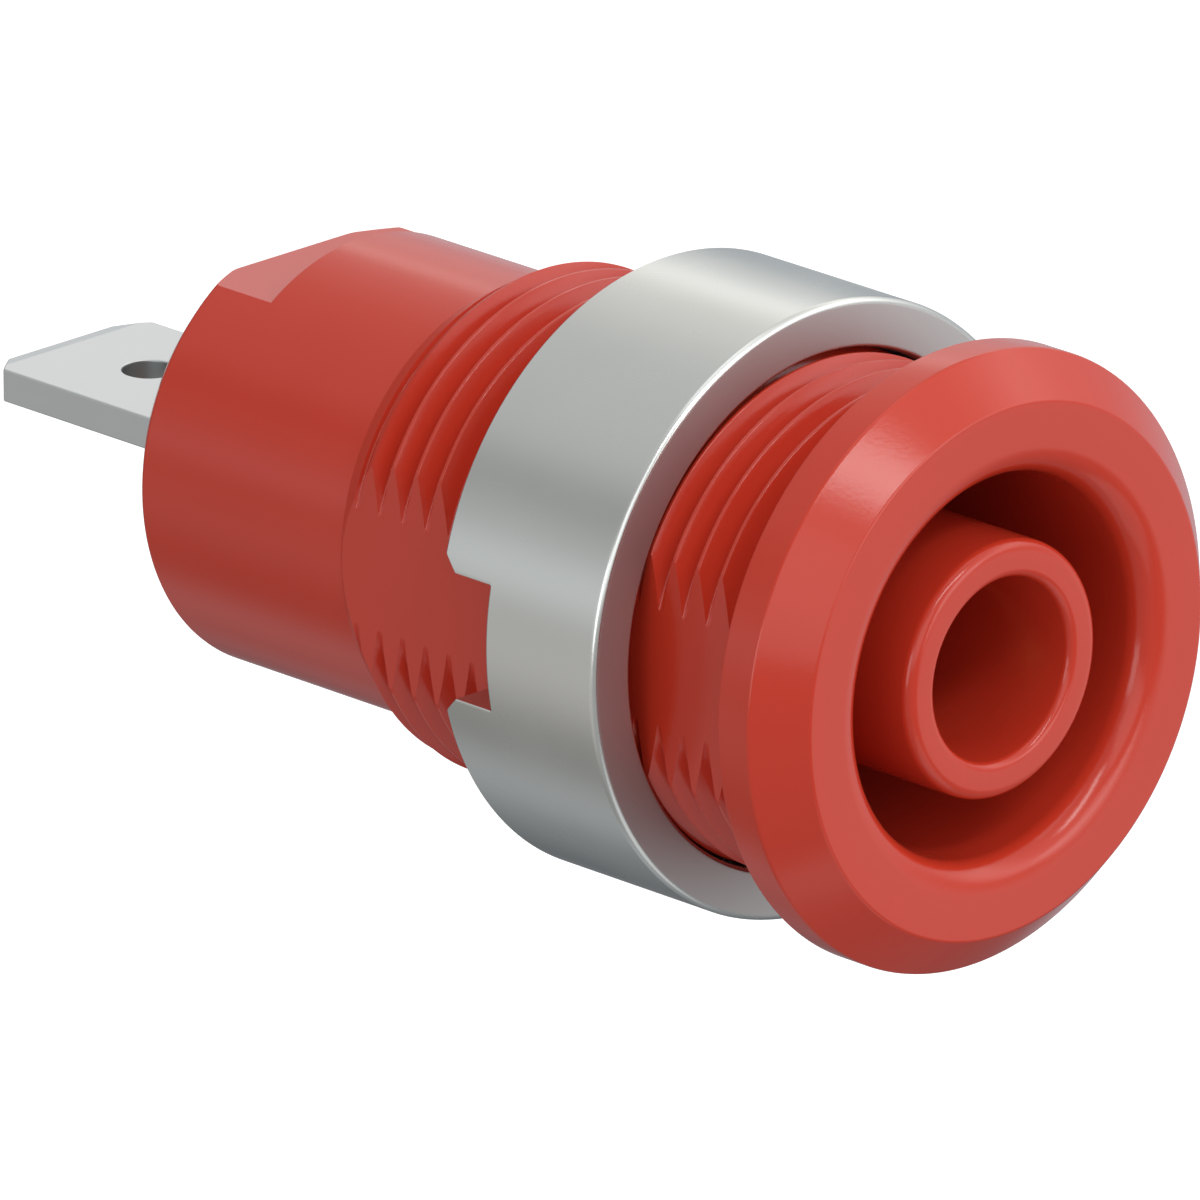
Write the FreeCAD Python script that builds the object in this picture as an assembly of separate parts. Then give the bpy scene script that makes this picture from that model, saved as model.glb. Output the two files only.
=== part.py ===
import FreeCAD, Part
import os
from math import radians, sqrt, tan
from FreeCAD import Vector

# Panel mount socket for a 4 mm banana plug with a rigid shroud, in millimetres.
# The axis lies along Y. The mating face looks to -Y and the flat tab points to +Y.
# The origin is on the axis, in the plane of the flange face that seats on the panel.

# Contact: a turned sleeve with a collar at its back, pressed into the housing
plug_bore = 4.0             # bore that takes the plug's pin
plug_bore_lead = 0.3        # chamfer at the bore's mouth
contact_wall = 0.55
contact_length = 18.0
contact_edge = 0.15         # broken edges
collar_step = 1.03          # the collar stands this far out from the sleeve
collar_length = 3.0
barb_count = 2
barb_pitch = 0.9
barb_depth = 0.12
bore_floor = 0.7            # metal between the bore's end and the tab's slot
press_gap = 0.02            # radial gap between contact and housing

# Housing, from the inside out: centre tube, annular gap for the shroud, outer wall
tube_wall = 0.455
tube_mouth = 4.3            # narrow mouth of the centre tube, in front of the contact
tube_mouth_chamfer = 0.3
tube_rounding = 0.4
tube_recess = 0.1           # the tube's end face lies this far behind the flange face
contact_recess = 4.45       # the contact lies this far behind the tube's end face
shroud_gap = 1.475
shroud_rounding = 0.7       # rounded mouth of the annular gap
shroud_floor = 2.6          # material between the gap's end and the collar
body_wall = 0.825
collar_recess = 0.45        # the collar's end lies this far inside the body's end

# Flange
flange_thickness = 1.95
flange_overhang = 1.25      # the flange stands this far out from the thread
flange_chamfer = 1.0

# Threaded barrel with two flats, and the plain body behind it
thread_pitch = 0.75
barrel_length = 14.0
lead_angle = 30.0
flat_depth = 0.625          # each flat is cut this deep into the thread
flat_step = 0.05            # the flats stay this far outside the body behind the barrel
body_chamfer = 0.5
key_depth = 0.875           # flat on top of the body's end
key_length = 2.3

# Flat tab, a quick connect blade of 4.8 by 0.8
tab_width = 4.8
tab_thickness = 0.8
tab_reach = 7.85            # visible length behind the body
tab_root = 2.5              # length held in the collar's slot
tab_slot_gap = 0.01
tab_bevel_length = 0.35
tab_bevel_drop = 0.15
tab_corner_side = 0.9
tab_corner_end = 0.5
tab_hole = 1.3
tab_hole_setback = 3.02     # from the tip to the hole's centre

# Ring nut
nut_seat = 3.9              # its front face lies this far behind the panel face
nut_length = 5.0
nut_edge = 0.12
nut_thread_gap = 0.08       # radial gap to the thread's crest
nut_slot_width = 3.0
nut_slot_depth = 1.55
nut_slot_flare = 0.4

# Radii, from the bore outwards
bore_radius = plug_bore / 2
sleeve_radius = bore_radius + contact_wall
collar_radius = sleeve_radius + collar_step
sleeve_hole_radius = sleeve_radius + press_gap
collar_hole_radius = collar_radius + press_gap
mouth_radius = tube_mouth / 2
tube_radius = sleeve_hole_radius + tube_wall
gap_radius = tube_radius + shroud_gap
body_radius = gap_radius + body_wall
flat_height = body_radius + flat_step
thread_radius = flat_height + flat_depth
thread_depth = 17 / 24 * sqrt(3) / 2 * thread_pitch
flange_radius = thread_radius + flange_overhang
nut_bore_radius = thread_radius + nut_thread_gap
nut_radius = flange_radius

# Places along the axis, from the mating face to the tab's tip
face_y = -flange_thickness
tube_face_y = face_y + tube_recess
contact_y = tube_face_y + contact_recess
contact_end_y = contact_y + contact_length
collar_y = contact_end_y - collar_length
slot_y = contact_end_y - tab_root
bore_end_y = slot_y - bore_floor
gap_end_y = collar_y - shroud_floor
body_end_y = contact_end_y + collar_recess
tab_tip_y = body_end_y + tab_reach

# Tools are made this much longer than what they cut
OVERRUN = 1.0


def turned(points):
    """A solid of revolution about the Y axis, from points of radius and height."""
    corners = [Vector(radius, y, 0) for radius, y in points]
    outline = Part.Face(Part.makePolygon(corners + corners[:1]))
    return outline.revolve(Vector(0, 0, 0), Vector(0, 1, 0), 360)


def box(x, y, z):
    """A box from its lowest and highest place along each axis."""
    return Part.makeBox(x[1] - x[0], y[1] - y[0], z[1] - z[0], Vector(x[0], y[0], z[0]))


def threaded_barrel():
    """The barrel between flange and body: ring-shaped V teeth, a lead-in cone and two flats."""
    root_radius = thread_radius - thread_depth
    teeth = [(0, 0)]
    y = 0
    while y < barrel_length + thread_pitch:
        teeth += [(thread_radius, y), (root_radius, y + thread_pitch / 2)]
        y += thread_pitch
    teeth.append((0, y - thread_pitch / 2))
    slope = tan(radians(lead_angle))
    cone_radius = thread_radius + OVERRUN
    envelope = turned([(0, 0), (cone_radius, 0),
                       (cone_radius, barrel_length - (cone_radius - body_radius) / slope),
                       (body_radius, barrel_length), (0, barrel_length)])
    flats = box((-flat_height, flat_height), (-OVERRUN, barrel_length + OVERRUN),
                (-flange_radius, flange_radius))
    return turned(teeth).common(envelope).common(flats)


def housing_hollow():
    """What is open inside the housing: mouth, tube bore, collar pocket and annular gap."""
    bore = turned([
        (0, face_y - OVERRUN), (gap_radius, face_y - OVERRUN), (gap_radius, tube_face_y),
        (mouth_radius + tube_mouth_chamfer, tube_face_y),
        (mouth_radius, tube_face_y + tube_mouth_chamfer), (mouth_radius, contact_y),
        (sleeve_hole_radius, contact_y),
        (sleeve_hole_radius, collar_y), (collar_hole_radius, collar_y),
        (collar_hole_radius, body_end_y + OVERRUN), (0, body_end_y + OVERRUN)])
    gap = turned([
        (tube_radius, face_y - OVERRUN), (gap_radius, face_y - OVERRUN),
        (gap_radius, gap_end_y), (tube_radius, gap_end_y)])
    return bore.fuse(gap)


def corner_ring(radius, y, size, outward):
    """The sharp ring that a rounding takes off an end face, on the wall at this radius."""
    side = 1 if outward else -1
    wall = radius - side * size
    ring = turned([(wall, y - OVERRUN), (radius + side * OVERRUN, y - OVERRUN),
                   (radius + side * OVERRUN, y + size), (wall, y + size)])
    keep = Part.makeTorus(abs(wall), size, Vector(0, y + size, 0), Vector(0, 1, 0))
    return ring.cut(keep)


def housing():
    flange = turned([
        (0, face_y), (flange_radius - flange_chamfer, face_y),
        (flange_radius, face_y + flange_chamfer), (flange_radius, 0), (0, 0)])
    body = turned([
        (0, barrel_length), (body_radius, barrel_length), (body_radius, body_end_y - body_chamfer),
        (body_radius - body_chamfer, body_end_y), (0, body_end_y)])
    key = box((-flange_radius, flange_radius), (body_end_y - key_length, body_end_y + OVERRUN),
              (body_radius - key_depth, flange_radius))
    moulding = flange.fuse(threaded_barrel()).fuse(body.cut(key)).cut(housing_hollow())
    moulding = moulding.cut(corner_ring(gap_radius, face_y, shroud_rounding, False))
    return moulding.cut(corner_ring(tube_radius, tube_face_y, tube_rounding, True))


def contact_sleeve():
    """The turned contact: plug bore in front, barbed collar and milled slot at the back."""
    barbs = []
    first_barb = collar_y + (collar_length - barb_count * barb_pitch) / 2
    for i in range(barb_count):
        start = first_barb + i * barb_pitch
        barbs += [(collar_radius, start), (collar_radius - barb_depth, start + barb_depth)]
    barbs.append((collar_radius, first_barb + barb_count * barb_pitch))
    blank = turned([
        (0, bore_end_y), (bore_radius, bore_end_y), (bore_radius, contact_y + plug_bore_lead),
        (bore_radius + plug_bore_lead, contact_y), (sleeve_radius - contact_edge, contact_y),
        (sleeve_radius, contact_y + contact_edge), (sleeve_radius, collar_y),
        (collar_radius, collar_y)]
        + barbs + [
        (collar_radius, contact_end_y - contact_edge),
        (collar_radius - contact_edge, contact_end_y), (0, contact_end_y)])
    half_slot = tab_thickness / 2 + tab_slot_gap
    slot = box((-collar_radius - OVERRUN, collar_radius + OVERRUN),
               (slot_y, contact_end_y + OVERRUN), (-half_slot, half_slot))
    return blank.cut(slot)


def flat_tab():
    """The stamped blade, with clipped corners, a bevelled tip and a hole."""
    half_width = tab_width / 2
    half_thickness = tab_thickness / 2
    plan = Part.Face(Part.makePolygon([
        Vector(-half_width, slot_y, -half_thickness), Vector(half_width, slot_y, -half_thickness),
        Vector(half_width, tab_tip_y - tab_corner_end, -half_thickness),
        Vector(half_width - tab_corner_side, tab_tip_y, -half_thickness),
        Vector(tab_corner_side - half_width, tab_tip_y, -half_thickness),
        Vector(-half_width, tab_tip_y - tab_corner_end, -half_thickness),
        Vector(-half_width, slot_y, -half_thickness)])).extrude(Vector(0, 0, tab_thickness))
    side = Part.Face(Part.makePolygon([
        Vector(-half_width, slot_y, -half_thickness), Vector(-half_width, slot_y, half_thickness),
        Vector(-half_width, tab_tip_y - tab_bevel_length, half_thickness),
        Vector(-half_width, tab_tip_y, half_thickness - tab_bevel_drop),
        Vector(-half_width, tab_tip_y, tab_bevel_drop - half_thickness),
        Vector(-half_width, tab_tip_y - tab_bevel_length, -half_thickness),
        Vector(-half_width, slot_y, -half_thickness)])).extrude(Vector(tab_width, 0, 0))
    hole = Part.makeCylinder(tab_hole / 2, tab_thickness + 2 * OVERRUN,
                             Vector(0, tab_tip_y - tab_hole_setback, -half_thickness - OVERRUN))
    return plan.common(side).cut(hole)


def ring_nut():
    """The round nut, with two spanner slots across its back face."""
    back_y = nut_seat + nut_length
    blank = turned([
        (nut_bore_radius + nut_edge, nut_seat), (nut_radius - nut_edge, nut_seat),
        (nut_radius, nut_seat + nut_edge), (nut_radius, back_y - nut_edge),
        (nut_radius - nut_edge, back_y), (nut_bore_radius + nut_edge, back_y),
        (nut_bore_radius, back_y - nut_edge), (nut_bore_radius, nut_seat + nut_edge)])
    half_slot = nut_slot_width / 2
    mouth = half_slot + nut_slot_flare + OVERRUN
    reach = nut_radius + OVERRUN
    slot = Part.Face(Part.makePolygon([
        Vector(-reach, back_y + OVERRUN, -mouth), Vector(-reach, back_y - nut_slot_flare, -half_slot),
        Vector(-reach, back_y - nut_slot_depth, -half_slot),
        Vector(-reach, back_y - nut_slot_depth, half_slot),
        Vector(-reach, back_y - nut_slot_flare, half_slot), Vector(-reach, back_y + OVERRUN, mouth),
        Vector(-reach, back_y + OVERRUN, -mouth)])).extrude(Vector(2 * reach, 0, 0))
    return blank.cut(slot)


PIECES = {
    "housing": housing,
    "contact_sleeve": contact_sleeve,
    "flat_tab": flat_tab,
    "ring_nut": ring_nut,
}

os.makedirs("parts", exist_ok=True)
for name, make in PIECES.items():
    shape = make()
    if len(shape.Solids) == 1:
        shape = shape.Solids[0]
    shape.exportStep(f"parts/{name}.step")
    print(name, "valid", shape.isValid(), "solids", len(shape.Solids), "faces", len(shape.Faces),
          "volume", round(shape.Volume, 2))
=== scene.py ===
from math import atan2, cos, pi, radians, sin, tan

import bmesh
import bpy
from mathutils import Matrix, Vector

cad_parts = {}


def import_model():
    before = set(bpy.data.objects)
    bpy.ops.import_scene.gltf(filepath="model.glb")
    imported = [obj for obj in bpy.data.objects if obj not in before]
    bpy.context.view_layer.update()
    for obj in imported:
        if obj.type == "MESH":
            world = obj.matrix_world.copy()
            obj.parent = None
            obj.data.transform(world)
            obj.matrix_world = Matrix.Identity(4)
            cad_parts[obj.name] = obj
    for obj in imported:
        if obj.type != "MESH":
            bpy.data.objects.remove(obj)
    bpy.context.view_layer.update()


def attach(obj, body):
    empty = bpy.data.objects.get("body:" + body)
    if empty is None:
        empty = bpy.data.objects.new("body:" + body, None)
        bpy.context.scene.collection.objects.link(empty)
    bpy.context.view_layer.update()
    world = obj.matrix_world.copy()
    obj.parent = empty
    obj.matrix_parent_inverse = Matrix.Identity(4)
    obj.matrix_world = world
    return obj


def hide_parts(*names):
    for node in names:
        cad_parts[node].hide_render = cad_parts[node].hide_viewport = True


# A panel mount banana socket: red moulded housing, nickelled ring nut, tinned flat tab.
# Shapes are worked out in millimetres and scaled to metres when each piece is finished.
# The axis lies along Y, and the flange's rear face is at Y = 0.

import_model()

MM = 0.001
BUMP_DEPTH = 0.00002        # metres, for every finish
HARD_ANGLE = 32             # degrees between faces, above which an edge stays crisp
AXIS = Vector((0, 1, 0))
CENTRE = Vector((0, 0, 0))

# Housing
FACE_Y = -1.95
TUBE_FACE_Y = -1.85
FLANGE_RADIUS = 7.25
FLANGE_CHAMFER = 1.0
GAP_RADIUS = 4.5
GAP_END_Y = 15.0
GAP_LIP = 0.7
TUBE_RADIUS = 3.025
TUBE_EDGE = 0.28
MOUTH_RADIUS = 2.15
MOUTH_EDGE = 0.22
CONTACT_Y = 2.6
SLEEVE_HOLE_RADIUS = 2.57
COLLAR_Y = 17.6
COLLAR_HOLE_RADIUS = 3.6
BODY_RADIUS = 5.325
BODY_END_Y = 21.05
BODY_CHAMFER = 0.5
KEY_HEIGHT = 4.45
KEY_Y = 18.75
CORE_RADIUS = 5.2           # of the moulding under the thread sleeve
SLEEVE_RADIUS_IN = 5.0      # of the thread sleeve's hidden inside
SLEEVE_LAP = 0.3            # of the thread sleeve over the body

# Thread on the barrel
THREAD_RADIUS = 6.0
THREAD_DEPTH = 0.46
PITCH = 0.75
CREST_Y = 0.678             # a crest's place on the +X side
TURN_STEPS = 192
THREAD_START_Y = -0.4       # inside the flange
BARREL_LENGTH = 14.0
LEAD_SLOPE = tan(radians(30))
FLANK_SLOPE = tan(radians(30))
FLAT_X = 5.375

# Contact and tab
PLUG_RADIUS = 2.0
SLEEVE_RADIUS = 2.55
COLLAR_RADIUS = 3.58
CONTACT_END_Y = 20.6
SLOT_Y = 18.1
BORE_END_Y = 17.4
BARBS = 3
BARBS_START = 0.45          # behind the collar's front
BARBS_END = 2.55
BARB_PITCH = 0.7
BARB_DEPTH = 0.12
TAB_HALF_WIDTH = 2.4
TAB_HALF_THICKNESS = 0.4
TAB_TIP_Y = 28.9
TAB_HOLE_Y = 25.88
TAB_HOLE_RADIUS = 0.65
TAB_CLIP = 0.75
TAB_CLIP_Y = TAB_TIP_Y - 0.62
TAB_TAPER_Y = TAB_TIP_Y - 0.46
TAB_TAPER = 0.2             # of the thickness, lost at the tip

# Nut
NUT_Y = 3.9
NUT_END_Y = 8.9
NUT_RADIUS = 7.25
NUT_BORE_RADIUS = 6.08
NUT_SLOT_HALF = 1.5
NUT_SLOT_DEPTH = 1.55
NUT_SLOT_FLARE = 0.4


# Mesh helpers

def outline(points, segments=6):
    """A wire in the XY plane. A third number rounds that corner, reaching so far along both edges."""
    bm = bmesh.new()
    verts = [bm.verts.new((p[0], p[1], 0)) for p in points]
    for i, vert in enumerate(verts):
        bm.edges.new((verts[i - 1], vert))
    reaches = sorted({p[2] for p in points if len(p) > 2})
    groups = [[v for v, p in zip(verts, points) if len(p) > 2 and p[2] == reach] for reach in reaches]
    for reach, group in zip(reaches, groups):
        bmesh.ops.bevel(bm, geom=group, offset=reach, offset_type="OFFSET",
                        segments=2 if reach < 0.08 else segments, profile=0.5,
                        affect="VERTICES", material=-1)
    return bm


def turned(points, steps=224, segments=6):
    """A closed outline spun once about the Y axis."""
    bm = outline(points, segments)
    bmesh.ops.spin(bm, geom=bm.verts[:] + bm.edges[:], cent=CENTRE, axis=AXIS, angle=2 * pi,
                   steps=steps, use_merge=True)
    bmesh.ops.remove_doubles(bm, verts=bm.verts, dist=1e-5)
    bmesh.ops.recalc_face_normals(bm, faces=bm.faces)
    return bm


def off_axis(vert):
    return Vector((vert.co.x, vert.co.z)).length


def set_radius(vert, radius):
    """Moves a point straight towards or away from the Y axis."""
    share = radius / off_axis(vert)
    vert.co.x *= share
    vert.co.z *= share


def bisect(bm, place, normal, faces=None, clear=False):
    """Cuts along a plane and returns the new edges."""
    faces = faces or bm.faces[:]
    parts = {part for face in faces for part in (*face.verts, *face.edges)}
    cut = bmesh.ops.bisect_plane(bm, geom=[*parts, *faces], dist=1e-5, plane_co=place,
                                 plane_no=normal, clear_outer=clear)["geom_cut"]
    return [e for e in cut if isinstance(e, bmesh.types.BMEdge)]


def notch(bm, planes):
    """Cuts away what lies on the inner side of every plane. Each plane is a point and a normal."""
    planes = [(Vector(place), Vector(normal).normalized()) for place, normal in planes]
    inside = bm.faces[:]
    cuts = []
    for place, normal in planes:
        cuts += bisect(bm, place, normal, inside)
        inside = [f for f in bm.faces
                  if all((f.calc_center_median() - at).dot(way) > 1e-4
                         for at, way in planes[:planes.index((place, normal)) + 1])]
    bmesh.ops.delete(bm, geom=inside, context="FACES")
    rim = [e for e in bm.edges if e.is_boundary]
    ends = {v for e in rim for v in e.verts}

    def within(vert, place, normal):
        return abs((vert.co - place).dot(normal)) < 1e-4

    for i, (place, normal) in enumerate(planes):
        for other_place, other_normal in planes[:i]:
            line = normal.cross(other_normal)
            if line.length < 1e-3:
                continue
            corner = sorted((v for v in ends if within(v, place, normal)
                             and within(v, other_place, other_normal)),
                            key=lambda v: v.co.dot(line))
            for start, end in zip(corner[::2], corner[1::2]):
                if not bm.edges.get((start, end)):
                    rim.append(bm.edges.new((start, end)))
    for place, normal in planes:
        flat = [e for e in rim if all(within(v, place, normal) for v in e.verts)]
        bmesh.ops.edgeloop_fill(bm, edges=flat)
    bmesh.ops.recalc_face_normals(bm, faces=bm.faces)
    spare = [e for e in set(cuts) if e.is_valid and len(e.link_faces) == 2
             and e.calc_face_angle() < 1e-4]
    bmesh.ops.dissolve_edges(bm, edges=spare, use_verts=True)


def corner_normals(bm):
    """A normal for each face corner: large faces count for more, so that flats stay flat."""
    pull = {face: face.normal * face.calc_area() for face in bm.faces}
    known = {}
    normals = []
    for face in bm.faces:
        for corner in face.loops:
            if corner not in known:
                fan = [corner]
                for forward in (True, False):
                    step = corner
                    while True:
                        side = step if forward else step.link_loop_prev
                        if not side.edge.smooth:
                            break
                        step = side.link_loop_radial_next
                        step = step.link_loop_next if forward else step
                        if step in fan:
                            break
                        fan.append(step)
                total = sum((pull[each.face] for each in fan), Vector()).normalized()
                known.update((each, total) for each in fan)
            normals.append(known[corner])
    return normals


def finish_piece(name, body, node, shapes, material, edge=0.0, crease=HARD_ANGLE):
    """Joins the shapes into one object in metres, smooths it, hangs it on its body and hides the CAD
    node it stands in for.
    """
    bm = bmesh.new()
    for shape in shapes:
        part = bpy.data.meshes.new("part")
        shape.to_mesh(part)
        shape.free()
        bm.from_mesh(part)
        bpy.data.meshes.remove(part)
    if edge:
        hard = [e for e in bm.edges if e.is_manifold and e.calc_face_angle() > radians(HARD_ANGLE)]
        bmesh.ops.bevel(bm, geom=hard, offset=edge, offset_type="OFFSET", segments=3, profile=0.5,
                        affect="EDGES", clamp_overlap=False, miter_outer="ARC")
    for face in bm.faces:
        face.smooth = True
    bm.normal_update()
    for each in bm.edges:
        each.smooth = each.is_manifold and each.calc_face_angle() < radians(crease)
    normals = corner_normals(bm)
    bmesh.ops.scale(bm, vec=(MM, MM, MM), verts=bm.verts)
    mesh = bpy.data.meshes.new(name)
    bm.to_mesh(mesh)
    bm.free()
    mesh.normals_split_custom_set(normals)
    piece = bpy.data.objects.new(name, mesh)
    bpy.context.scene.collection.objects.link(piece)
    mesh.materials.append(material)
    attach(piece, body)
    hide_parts(node)


# Materials

class Signal:
    """A shader socket that can be used in sums."""

    def __init__(self, nodes, socket):
        self.nodes = nodes
        self.socket = socket

    def __add__(self, other):
        return self.nodes.maths("ADD", self, other)

    def __radd__(self, other):
        return self.nodes.maths("ADD", other, self)

    def __sub__(self, other):
        return self.nodes.maths("SUBTRACT", self, other)

    def __rsub__(self, other):
        return self.nodes.maths("SUBTRACT", other, self)

    def __mul__(self, other):
        return self.nodes.maths("MULTIPLY", self, other)

    def __rmul__(self, other):
        return self.nodes.maths("MULTIPLY", other, self)


class Nodes:
    """A node tree, built from Python expressions."""

    def __init__(self, tree):
        self.tree = tree

    def node(self, kind, settings, inputs, output=0):
        made = self.tree.nodes.new(kind)
        for key, value in settings.items():
            setattr(made, key, value)
        for key, value in inputs.items():
            self.feed(made.inputs[key], value)
        return Signal(self, made.outputs[output])

    def feed(self, socket, value):
        if isinstance(value, Signal):
            self.tree.links.new(value.socket, socket)
        elif isinstance(value, tuple) and len(value) == 3 and socket.type == "RGBA":
            socket.default_value = (*value, 1)
        else:
            socket.default_value = value

    def maths(self, operation, first, second):
        return self.node("ShaderNodeMath", {"operation": operation}, {0: first, 1: second})

    def mix(self, factor, first, second):
        return self.node("ShaderNodeMix", {"data_type": "RGBA"},
                         {0: factor, 6: first, 7: second}, 2)


class Finish(Nodes):
    """A material on Object coordinates."""

    def __init__(self, name):
        self.material = bpy.data.materials.new(name)
        self.material.use_nodes = True
        super().__init__(self.material.node_tree)
        self.surface = self.tree.nodes["Principled BSDF"]
        self.place = self.node("ShaderNodeTexCoord", {}, {}, "Object")

    def set(self, **inputs):
        for key, value in inputs.items():
            self.feed(self.surface.inputs[key.replace("_", " ")], value)
        return self.material

    def noise(self, scale, detail=2.0, roughness=0.5, vector=None):
        return self.node("ShaderNodeTexNoise", {}, {
            "Vector": vector or self.place, "Scale": scale, "Detail": detail,
            "Roughness": roughness})

    def stretched(self, scale):
        return self.node("ShaderNodeMapping", {}, {"Vector": self.place, "Scale": scale})

    def bump(self, height, strength):
        return self.node("ShaderNodeBump", {}, {"Height": height, "Strength": strength,
                                                "Distance": BUMP_DEPTH})

    def turned_rings(self):
        """Fine marks of turning, all round the Y axis."""
        return self.noise(1, 2, 0.6, self.stretched((0, 12000, 0)))


def srgb(red, green, blue):
    """A colour as the eye names it, 0 to 255, in the renderer's linear numbers."""
    return tuple(c / 255 / 12.92 if c <= 10 else ((c / 255 + 0.055) / 1.055) ** 2.4
                 for c in (red, green, blue))


def red_plastic():
    s = Finish("red moulded plastic")
    cloud = s.noise(260, 3)
    grain = s.noise(9000, 2, 0.6)
    colour = s.mix(cloud, srgb(194, 53, 34), srgb(200, 58, 39))
    height = s.bump(grain, 0.12)
    return s.set(Base_Color=colour, Roughness=0.15 + 0.06 * cloud, Normal=height, IOR=1.5)


def nickel():
    s = Finish("turned nickel plate")
    cloud = s.noise(420, 3)
    height = s.bump(s.turned_rings(), 0.03)
    along = s.node("ShaderNodeSeparateXYZ", {}, {0: s.place}, "Y")
    centre = (NUT_Y + NUT_END_Y) / 2 * MM
    end_face = s.maths("GREATER_THAN", s.maths("ABSOLUTE", along - centre, 0),
                       (NUT_END_Y - NUT_Y) / 2 * MM - 0.00001)
    side = s.mix(cloud, srgb(218, 220, 217), srgb(226, 228, 225))
    return s.set(Base_Color=s.mix(end_face, side, srgb(200, 200, 200)), Metallic=1.0,
                 Normal=height, Roughness=0.24 + 0.06 * cloud + 0.28 * end_face,
                 Specular_Tint=(0.72, 0.73, 0.74))


def tin():
    s = Finish("dull tin plate")
    cloud = s.noise(700, 4, 0.6)
    grain = s.noise(1, 3, 0.6, s.stretched((9000, 900, 9000)))
    x, y = (s.node("ShaderNodeSeparateXYZ", {}, {0: s.place}, axis) for axis in "XY")
    off = y - TAB_HOLE_Y * MM
    # Painted shade: the wall of the hole gets a darker grey than the faces, standing in for the shade
    # inside the hole.
    shaded_hole_wall = s.maths("LESS_THAN", x * x + off * off, (TAB_HOLE_RADIUS * MM + 0.00001) ** 2)
    face = s.mix(cloud, srgb(208, 212, 213), srgb(217, 221, 221))
    colour = s.mix(shaded_hole_wall, face, srgb(176, 180, 180))
    height = s.bump(grain, 0.08)
    return s.set(Base_Color=colour, Metallic=1.0, Roughness=0.34 + 0.14 * cloud, Normal=height)


def gilt():
    s = Finish("turned brass")
    cloud = s.noise(500, 3)
    colour = s.mix(cloud, srgb(196, 164, 92), srgb(212, 182, 110))
    height = s.bump(s.turned_rings(), 0.08)
    return s.set(Base_Color=colour, Metallic=1.0, Roughness=0.28 + 0.12 * cloud, Normal=height)


# Pieces

def moulding():
    """Flange, hollow, body and key flat: everything of the housing but its thread."""
    core = turned([
        (GAP_RADIUS, FACE_Y, GAP_LIP),
        (FLANGE_RADIUS - FLANGE_CHAMFER, FACE_Y, 0.05),
        (FLANGE_RADIUS, FACE_Y + FLANGE_CHAMFER, 0.05),
        (FLANGE_RADIUS, 0, 0.07),
        (CORE_RADIUS, 0), (CORE_RADIUS, BARREL_LENGTH - SLEEVE_LAP),
        (BODY_RADIUS, BARREL_LENGTH - SLEEVE_LAP),
        (BODY_RADIUS, BODY_END_Y - BODY_CHAMFER, 0.06),
        (BODY_RADIUS - BODY_CHAMFER, BODY_END_Y, 0.06),
        (COLLAR_HOLE_RADIUS, BODY_END_Y, 0.12),
        (COLLAR_HOLE_RADIUS, COLLAR_Y), (SLEEVE_HOLE_RADIUS, COLLAR_Y),
        (SLEEVE_HOLE_RADIUS, CONTACT_Y), (MOUTH_RADIUS, CONTACT_Y),
        (MOUTH_RADIUS, TUBE_FACE_Y, MOUTH_EDGE),
        (TUBE_RADIUS, TUBE_FACE_Y, TUBE_EDGE),
        (TUBE_RADIUS, GAP_END_Y, 0.3), (GAP_RADIUS, GAP_END_Y, 0.3)])
    notch(core, [((0, 0, KEY_HEIGHT), (0, 0, 1)), ((0, KEY_Y, 0), (0, 1, 0))])
    return core


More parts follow.
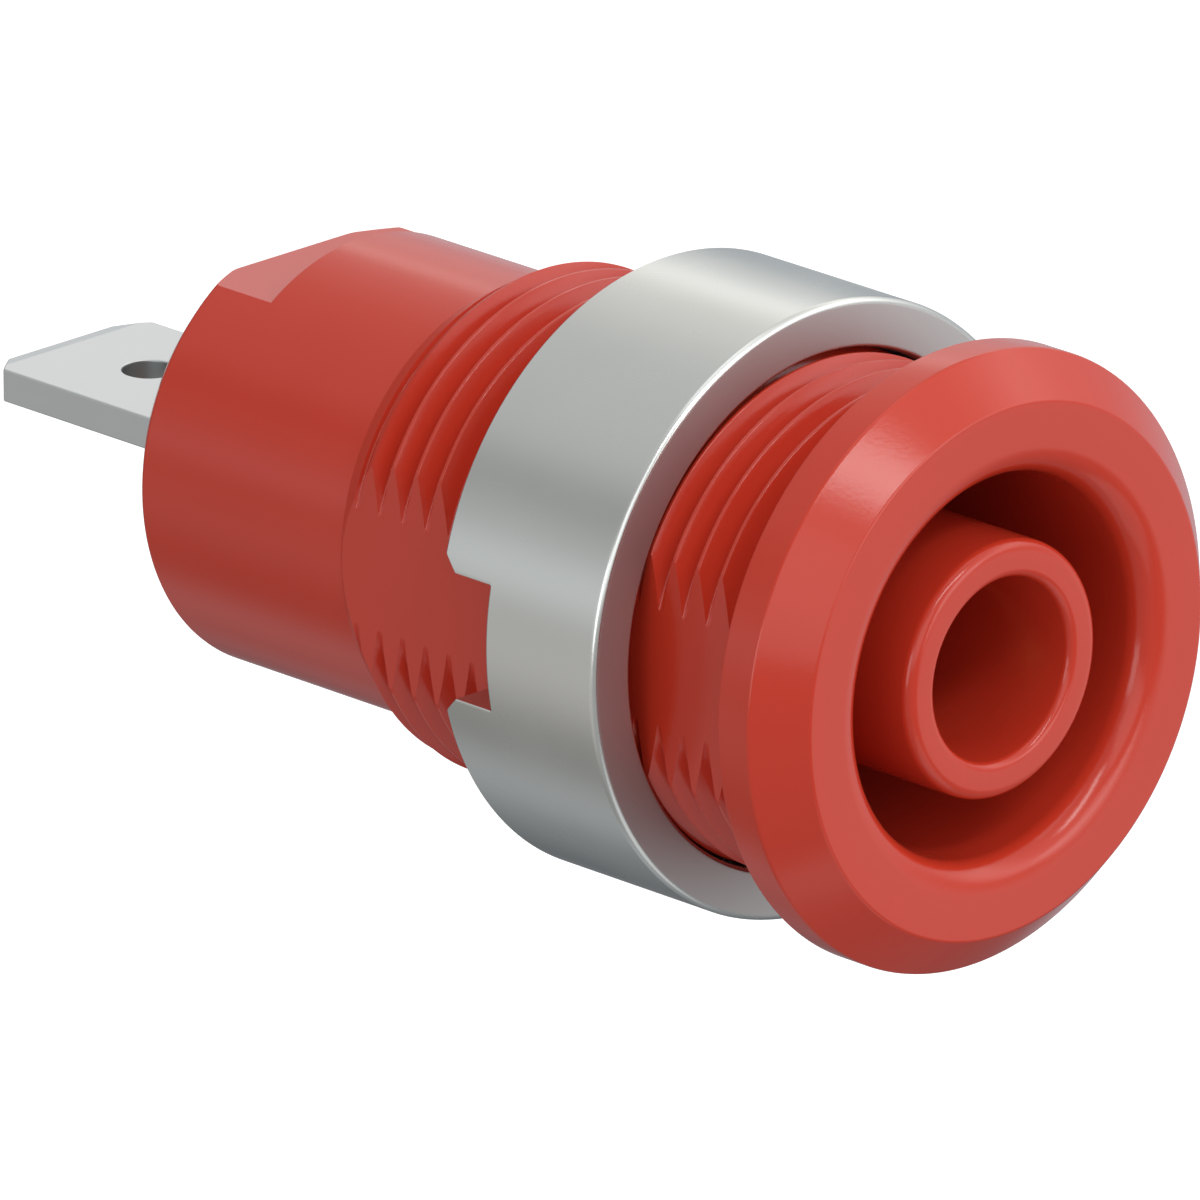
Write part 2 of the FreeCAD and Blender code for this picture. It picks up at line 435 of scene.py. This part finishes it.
def thread():
    """The right-handed thread as a sleeve round the barrel, with lead cone, closed ends and flats."""
    crest = PITCH / 16
    root = crest + THREAD_DEPTH * FLANK_SLOPE
    low = THREAD_RADIUS - THREAD_DEPTH
    edge = 0.018
    slide = THREAD_DEPTH * 0.35
    tooth = [(low, -PITCH / 2), (low, -root - edge), (low + edge, -root + edge * 0.6)]
    for share in (0.33, 0.67):
        tooth.append((low + THREAD_DEPTH * share, -root + (root - crest) * share))
    tooth += [(THREAD_RADIUS - edge, -crest - edge * 0.6), (THREAD_RADIUS, -crest + edge)]
    tooth += [(r, -y) for r, y in reversed(tooth[1:])]
    bm = bmesh.new()
    turns = int(BARREL_LENGTH / PITCH) + 4
    line = [bm.verts.new((r, y + CREST_Y + PITCH * (turn - 3), 0))
            for turn in range(turns + 1) for r, y in tooth]
    for start, end in zip(line, line[1:]):
        bm.edges.new((start, end))
    bmesh.ops.spin(bm, geom=bm.verts[:] + bm.edges[:], cent=CENTRE, axis=-AXIS, angle=2 * pi,
                   dvec=AXIS * (PITCH / TURN_STEPS), steps=TURN_STEPS)
    bmesh.ops.remove_doubles(bm, verts=bm.verts, dist=1e-4)
    for vert in bm.verts:
        radius = off_axis(vert)
        limit = BODY_RADIUS + (BARREL_LENGTH - vert.co.y) * LEAD_SLOPE
        if radius > limit > 0:
            # A flank's point just outside the lead cone slides down its flank, others come straight in
            around = atan2(vert.co.z, vert.co.x) / (2 * pi)
            past_crest = (vert.co.y - CREST_Y - PITCH * around + PITCH / 2) % PITCH - PITCH / 2
            lean = FLANK_SLOPE if past_crest < 0 else -FLANK_SLOPE
            down = (radius - limit) / (1 + lean * LEAD_SLOPE)
            if radius < THREAD_RADIUS - edge / 2 and down < slide:
                vert.co.y -= lean * down
                limit = radius - down
            set_radius(vert, limit)
    bisect(bm, (0, THREAD_START_Y, 0), (0, -1, 0), clear=True)
    bisect(bm, (0, BARREL_LENGTH, 0), (0, 1, 0), clear=True)
    bmesh.ops.delete(bm, geom=[v for v in bm.verts if not v.link_faces], context="VERTS")
    rims = bmesh.ops.extrude_edge_only(bm, edges=[e for e in bm.edges if e.is_boundary])["geom"]
    for vert in rims:
        if isinstance(vert, bmesh.types.BMVert):
            set_radius(vert, SLEEVE_RADIUS_IN)
    bmesh.ops.bridge_loops(bm, edges=[e for e in bm.edges if e.is_boundary])
    bmesh.ops.recalc_face_normals(bm, faces=bm.faces)
    for side in (1, -1):
        notch(bm, [((side * FLAT_X, 0, 0), (side, 0, 0))])
    return bm


def contact():
    """The turned contact with its bore, collar and barbs, and the slot that holds the tab."""
    barbs = []
    for i in range(BARBS):
        start = COLLAR_Y + BARBS_START + BARB_PITCH * i
        barbs += [(COLLAR_RADIUS, start), (COLLAR_RADIUS - BARB_DEPTH, start + BARB_DEPTH)]
    blank = turned([
        (PLUG_RADIUS, CONTACT_Y + 0.3), (PLUG_RADIUS + 0.3, CONTACT_Y),
        (SLEEVE_RADIUS, CONTACT_Y, 0.12), (SLEEVE_RADIUS, COLLAR_Y), (COLLAR_RADIUS, COLLAR_Y, 0.12)]
        + barbs + [(COLLAR_RADIUS, COLLAR_Y + BARBS_END),
                   (COLLAR_RADIUS, CONTACT_END_Y, 0.15), (0.001, CONTACT_END_Y),
                   (0.001, BORE_END_Y), (PLUG_RADIUS, BORE_END_Y)], steps=160)
    poles = [v for v in blank.verts if off_axis(v) < 0.01]
    bmesh.ops.remove_doubles(blank, verts=poles, dist=0.02)
    bmesh.ops.delete(blank, geom=[e for e in blank.edges if e.is_wire], context="EDGES")
    half = TAB_HALF_THICKNESS + 0.01
    notch(blank, [((0, SLOT_Y, 0), (0, 1, 0)), ((0, 0, half), (0, 0, -1)),
                  ((0, 0, -half), (0, 0, 1))])
    return blank


def tab():
    """The stamped blade: clipped corners, bevelled tip and a hole stamped through it."""
    bm = bmesh.new()
    corners = [(-TAB_HALF_WIDTH, SLOT_Y), (TAB_HALF_WIDTH, SLOT_Y),
               (TAB_HALF_WIDTH, TAB_CLIP_Y), (TAB_HALF_WIDTH - TAB_CLIP, TAB_TIP_Y),
               (TAB_CLIP - TAB_HALF_WIDTH, TAB_TIP_Y), (-TAB_HALF_WIDTH, TAB_CLIP_Y)]
    verts = [bm.verts.new((x, y, -TAB_HALF_THICKNESS)) for x, y in corners]
    for i, vert in enumerate(verts):
        bm.edges.new((verts[i - 1], vert))
    place = Matrix.Translation((0, TAB_HOLE_Y, -TAB_HALF_THICKNESS))
    bmesh.ops.create_circle(bm, segments=64, radius=TAB_HOLE_RADIUS, matrix=place)
    bmesh.ops.triangle_fill(bm, edges=bm.edges[:], use_beauty=True)
    bmesh.ops.dissolve_limit(bm, angle_limit=0.01, verts=bm.verts, edges=bm.edges)
    up = bmesh.ops.extrude_face_region(bm, geom=bm.faces[:])["geom"]
    bmesh.ops.translate(bm, vec=(0, 0, 2 * TAB_HALF_THICKNESS),
                        verts=[v for v in up if isinstance(v, bmesh.types.BMVert)])
    bisect(bm, (0, TAB_TAPER_Y, 0), (0, 1, 0))
    for vert in bm.verts:
        past = (vert.co.y - TAB_TAPER_Y) / (TAB_TIP_Y - TAB_TAPER_Y)
        if past > 0:
            vert.co.z *= 1 - past * TAB_TAPER
    bmesh.ops.recalc_face_normals(bm, faces=bm.faces)
    return bm


def nut():
    """The ring nut with a flared spanner slot on either side of its back face."""
    ring = turned([
        (NUT_BORE_RADIUS, NUT_Y, 0.12), (NUT_RADIUS, NUT_Y, 0.16),
        (NUT_RADIUS, NUT_END_Y - NUT_SLOT_DEPTH - 0.05), (NUT_RADIUS, NUT_END_Y, 0.07),
        (NUT_BORE_RADIUS, NUT_END_Y, 0.1)], steps=400, segments=3)
    flare_y = NUT_END_Y - NUT_SLOT_FLARE
    notch(ring, [((0, flare_y, 0), (0, 1, 0)),
                 ((0, flare_y, NUT_SLOT_HALF), (0, 1, -1)),
                 ((0, flare_y, -NUT_SLOT_HALF), (0, 1, 1))])
    notch(ring, [((0, NUT_END_Y - NUT_SLOT_DEPTH, 0), (0, 1, 0)),
                 ((0, 0, NUT_SLOT_HALF), (0, 0, -1)),
                 ((0, 0, -NUT_SLOT_HALF), (0, 0, 1))])
    return ring


housing_plastic = red_plastic()
finish_piece("housing_shell", "socket", "housing", [moulding(), thread()],
             housing_plastic)
finish_piece("contact_turned", "socket", "contact_sleeve", [contact()], gilt())
finish_piece("blade", "socket", "flat_tab", [tab()], tin(), edge=0.04, crease=7)
finish_piece("nut_ring", "nut", "ring_nut", [nut()], nickel(), edge=0.035)


# Stage: pale floor, white background for camera rays alone, plain lamps

FLOOR_Z = -0.06
FLOOR_REACH = 3.0


def floor():
    """A white floor that keeps a soft shadow. It only shows: the room's light comes from the world."""
    bm = bmesh.new()
    bmesh.ops.create_grid(bm, x_segments=1, y_segments=1, size=FLOOR_REACH,
                          matrix=Matrix.Translation((0, 0, FLOOR_Z)))
    mesh = bpy.data.meshes.new("floor")
    bm.to_mesh(mesh)
    bm.free()
    ground = bpy.data.objects.new("floor", mesh)
    ground.visible_diffuse = False
    ground.visible_glossy = False
    ground.visible_shadow = False
    bpy.context.scene.collection.objects.link(ground)
    s = Finish("pale floor")
    mesh.materials.append(s.set(Base_Color=srgb(246, 246, 246), Roughness=0.9,
                                Emission_Color=(1.0, 1.0, 1.0), Emission_Strength=0.4))


# Two rings of soft light round the object's axis, one behind it and one in front of it:
# angle from +X towards +Z in degrees, level, coolness
ROOM_BEHIND = [(-43, 0.18, 2), (-28, 0.5, 3), (5, 0.62, 2), (20, 0.86, 0), (30, 1.0, 0),
               (38, 1.65, -1), (47, 0.86, -1), (90, 0.62, 0), (125, 0.6, 0), (145, 0.37, 0),
               (158, 0.5, 0), (175, 0.78, 1), (190, 0.48, -1), (206, 0.55, -1),
               (238, 0.26, -1), (262, 0.48, 1), (285, 0.28, 1), (302, 0.24, 2)]
ROOM_IN_FRONT = [(-45, 0.3, 1), (-25, 1.0, 0), (10, 0.6, 0), (34, 2.0, 0), (60, 1.0, 0),
                 (110, 0.5, 0), (150, 0.45, 0), (185, 0.35, 0), (215, 0.4, 0), (280, 0.25, 1)]
ROOM_START = -57
ROOM_PEAK = 2.0
ROOM_FAR_END = (0.12, 0.12, 0.12)
LAMP_AIM = Vector((0, 0.0095, 0))


def ring_of_light(room, around, stops):
    """A closed ramp of light levels over the angle."""
    made = room.node("ShaderNodeValToRGB", {}, {0: around})
    ramp = made.socket.node.color_ramp
    ramp.interpolation = "EASE"
    while len(ramp.elements) < len(stops):
        ramp.elements.new(0.5)
    for element, (angle, level, cool) in zip(ramp.elements, stops):
        element.position = (angle - ROOM_START) / 360
        level /= ROOM_PEAK
        element.color = (level * (1 - 0.03 * cool), level, level * (1 + 0.03 * cool), 1)
    return made


def world():
    """White behind the object; for light and reflections a soft room with bright and dark strips."""
    made = bpy.data.worlds.new("studio")
    bpy.context.scene.world = made
    made.use_nodes = True
    room = Nodes(made.node_tree)
    toward = room.node("ShaderNodeTexCoord", {}, {}, "Generated")
    turned_room = room.node("ShaderNodeVectorRotate", {"rotation_type": "Y_AXIS"},
                            {"Vector": toward, "Angle": radians(ROOM_START - 180)})
    x, y, z = (room.node("ShaderNodeSeparateXYZ", {}, {0: turned_room}, axis) for axis in "XYZ")
    around = room.maths("ARCTAN2", z, x) * (1 / (2 * pi)) + 0.5

    def past(start, end):
        return room.node("ShaderNodeMapRange", {"interpolation_type": "SMOOTHSTEP"},
                         {"Value": y, "From Min": start, "From Max": end})

    strips = room.mix(past(-0.5, 0.1), ring_of_light(room, around, ROOM_IN_FRONT),
                      ring_of_light(room, around, ROOM_BEHIND))
    strips = room.mix(past(0.72, 0.9), strips, ROOM_FAR_END)
    seen = room.node("ShaderNodeLightPath", {}, {}, "Is Camera Ray")
    light = room.node("ShaderNodeBackground", {}, {"Color": strips, "Strength": ROOM_PEAK})
    white = room.node("ShaderNodeBackground", {}, {"Color": (1.0, 1.0, 1.0), "Strength": 1.0})
    sky = room.node("ShaderNodeMixShader", {}, {0: seen, 1: light, 2: white})
    room.feed(made.node_tree.nodes["World Output"].inputs[0], sky)


def lamp(name, place, size, power):
    """A plain white lamp, turned to the object's middle."""
    data = bpy.data.lights.new(name, "AREA")
    data.shape = "RECTANGLE"
    data.size, data.size_y = size
    data.energy = power
    made = bpy.data.objects.new(name, data)
    made.location = place
    made.rotation_euler = (LAMP_AIM - made.location).to_track_quat("-Z", "Y").to_euler()
    bpy.context.scene.collection.objects.link(made)


CAMERA_AIM = Vector((-1.1997, 9.8151, -0.9419)) * MM
CAMERA_DISTANCE = 0.53659


def camera():
    """The photograph's view: turned 44.6 degrees to the left, 19.6 degrees up, with a long lens."""
    azimuth, elevation, roll = radians(-44.636), radians(19.552), radians(-0.095)
    right = Vector((cos(azimuth), sin(azimuth), 0))
    back = Vector((sin(azimuth) * cos(elevation), -cos(azimuth) * cos(elevation), sin(elevation)))
    up = back.cross(right)
    across = right * cos(roll) + up * sin(roll)
    upward = up * cos(roll) - right * sin(roll)
    turn = Matrix((across, upward, back)).transposed()
    data = bpy.data.cameras.new("camera")
    data.lens = 708.8
    data.sensor_width = 36
    data.clip_start = 0.01
    data.clip_end = 20
    made = bpy.data.objects.new("camera", data)
    made.matrix_world = Matrix.Translation(CAMERA_AIM + back * CAMERA_DISTANCE) @ turn.to_4x4()
    bpy.context.scene.collection.objects.link(made)
    bpy.context.scene.camera = made


floor()
world()
camera()
lamp("key", (-0.05, -0.29, 0.34), (0.28, 0.07), 0.38)
lamp("front", (0.14, -0.45, 0.1), (0.26, 0.26), 0.25)
lamp("viewer", (-0.28, -0.36, 0.16), (0.36, 0.3), 0.32)
lamp("left", (-0.43, -0.12, 0.04), (0.2, 0.2), 0.25)
lamp("top", (0, 0.0095, 0.45), (0.3, 0.3), 0.17)
lamp("low", (0, -0.27, -0.36), (0.3, 0.3), 0.14)

bpy.context.scene.view_settings.view_transform = "Standard"
